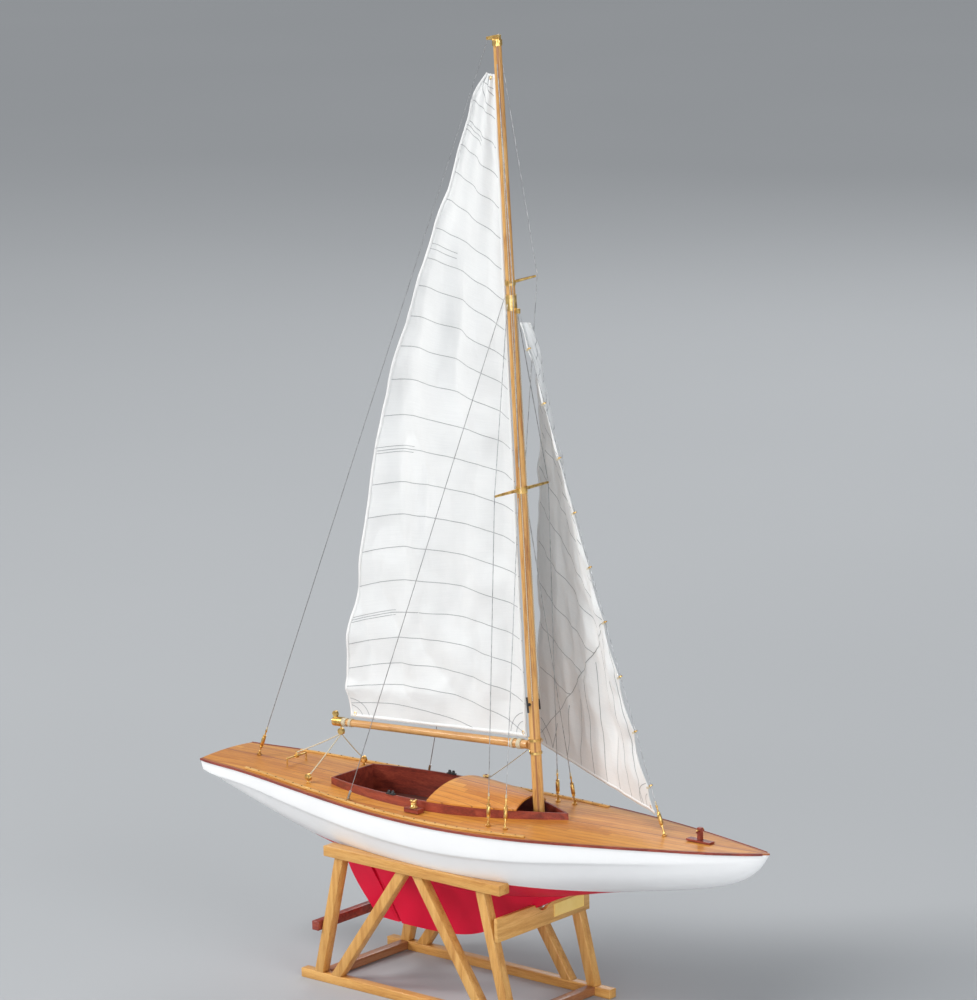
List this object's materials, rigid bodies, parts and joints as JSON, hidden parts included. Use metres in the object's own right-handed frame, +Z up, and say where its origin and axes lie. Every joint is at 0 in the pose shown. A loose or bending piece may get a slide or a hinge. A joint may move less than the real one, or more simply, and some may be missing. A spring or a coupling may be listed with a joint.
{
  "type": "rc sailboat",
  "caption": "Classic long-keeled day-racing sailboat model with varnished deck, sloop rig and radio steering, resting in a wooden trestle stand.",
  "frame": {"origin": "on the floor, under the middle of the hull's length and beam", "axes": "+X to the bow, +Y to port, +Z up"},
  "size_m": [0.74, 0.1704, 1.011],
  "materials": {
    "hull_paint": "painted, satin gloss",
    "keel_paint": "painted, satin gloss",
    "deck_wood": "varnished",
    "mahogany": "varnished",
    "spar_wood": "varnished",
    "stand_wood": "bare, lightly oiled",
    "plywood": "bare",
    "brass": "polished",
    "steel_wire": "drawn wire",
    "sail_cloth": "fine cotton weave",
    "rope": "laid cord",
    "black_plastic": "moulded",
    "white_plastic": "moulded",
    "battery_wrap": "shrink sleeve"
  },
  "bodies": {
    "stand": {"stand_legs": "stand_wood", "stand_braces": "stand_wood", "stand_top_rails": "stand_wood", "stand_base_rails": "stand_wood", "stand_crossbars": "stand_wood", "stand_mid_bar": "mahogany", "stand_cradle_board": "stand_wood", "name_plate": "brass"},
    "rudder": {"rudder_blade": "keel_paint", "rudder_stock": "brass"},
    "servo_arm": {"servo_arm": "white_plastic"},
    "pushrod": {"rudder_pushrod": "steel_wire"},
    "boom": {"boom": "spar_wood", "boom_end_fitting": "brass", "mainsail": "sail_cloth"},
    "jib": {"jib": "sail_cloth", "jib_hanks": "brass"},
    "traveller": {"sheet_traveller": "brass"},
    "winch_starboard": {"winch_drum_starboard": "brass"},
    "winch_port": {"winch_drum_port": "brass"},
    "sheet_drum": {"sheet_drum": "white_plastic"},
    "switch_lever": {"switch_lever": "black_plastic"},
    "sole": {"cockpit_sole": "mahogany"},
    "hull": {"hull_shell": "hull_paint", "deck": "deck_wood", "rub_rails": "mahogany", "toe_rails": "deck_wood", "keel_fin": "keel_paint", "keel_ballast": "keel_paint", "rudder_tube": "brass", "rudder_servo": "black_plastic", "coaming": "mahogany", "coachroof": "deck_wood", "equipment_tray": "plywood", "mast": "spar_wood", "masthead_crane": "brass", "spreaders": "brass", "jumper_struts": "brass", "hounds_band": "brass", "mast_cleats": "black_plastic", "gooseneck": "brass", "mast_partner": "mahogany", "mast_step": "mahogany", "turnbuckles": "brass", "chainplates": "brass", "shrouds": "steel_wire", "forestay": "steel_wire", "backstay": "steel_wire", "running_backstays": "steel_wire", "jumper_stays": "steel_wire", "mainsheet": "rope", "deck_blocks": "brass", "mainsheet_horse": "brass", "winch_pads": "mahogany", "bow_post": "mahogany", "winch_servo": "black_plastic", "battery_pack": "battery_wrap", "radio_receiver": "black_plastic", "power_switch": "black_plastic"}
  },
  "joints": [
    {"name": "boat_lift", "type": "slide", "parent": "stand", "child": "hull", "axis": [0, 0, 1], "range_m": [0, 0.1]},
    {"name": "rudder_turn", "type": "hinge", "parent": "hull", "child": "rudder", "pos_m": [-0.154, 0, 0.10846], "axis": [-0.5, 0, 0.866], "range_deg": [-35, 35]},
    {"name": "servo_arm_turn", "type": "hinge", "parent": "hull", "child": "servo_arm", "pos_m": [-0.10095, 0, 0.169], "axis": [-0.5, 0, 0.866], "range_deg": [-35, 35]},
    {"name": "pushrod_turn", "type": "hinge", "parent": "servo_arm", "child": "pushrod", "pos_m": [-0.10095, 0.014, 0.169], "axis": [-0.5, 0, 0.866], "range_deg": [-35, 35]},
    {"name": "boom_swing", "type": "hinge", "parent": "hull", "child": "boom", "pos_m": [0.06162, 0, 0.281], "axis": [-0.0464, 0, 0.9989], "range_deg": [-9, 9], "deforming": ["mainsheet"]},
    {"name": "jib_swing", "type": "hinge", "parent": "hull", "child": "jib", "pos_m": [0.237, 0, 0.21721], "axis": [0.3281, 0, -0.9446], "range_deg": [0, 10]},
    {"name": "traveller_slide", "type": "slide", "parent": "hull", "child": "traveller", "axis": [0, 1, 0], "range_m": [-0.01, 0.01]},
    {"name": "winch_starboard_turn", "type": "hinge", "parent": "hull", "child": "winch_starboard", "pos_m": [-0.048, -0.058, 0.20833], "axis": [0, 0, 1], "continuous": true},
    {"name": "winch_port_turn", "type": "hinge", "parent": "hull", "child": "winch_port", "pos_m": [-0.048, 0.058, 0.20833], "axis": [0, 0, 1], "continuous": true},
    {"name": "sheet_drum_turn", "type": "hinge", "parent": "hull", "child": "sheet_drum", "pos_m": [-0.014, 0, 0.169], "axis": [0, 0, 1], "range_deg": [0, 1080]},
    {"name": "switch_toggle", "type": "hinge", "parent": "hull", "child": "switch_lever", "pos_m": [-0.128, -0.03818, 0.2], "axis": [0, 0, 1], "range_deg": [-15, 15]},
    {"name": "sole_lift", "type": "slide", "parent": "hull", "child": "sole", "axis": [0, 0, 1], "range_m": [0, 0.045]}
  ],
  "couplings": [
    {"joint": "servo_arm_turn", "follows": "rudder_turn", "ratio": 1},
    {"joint": "pushrod_turn", "follows": "rudder_turn", "ratio": -1}
  ]
}
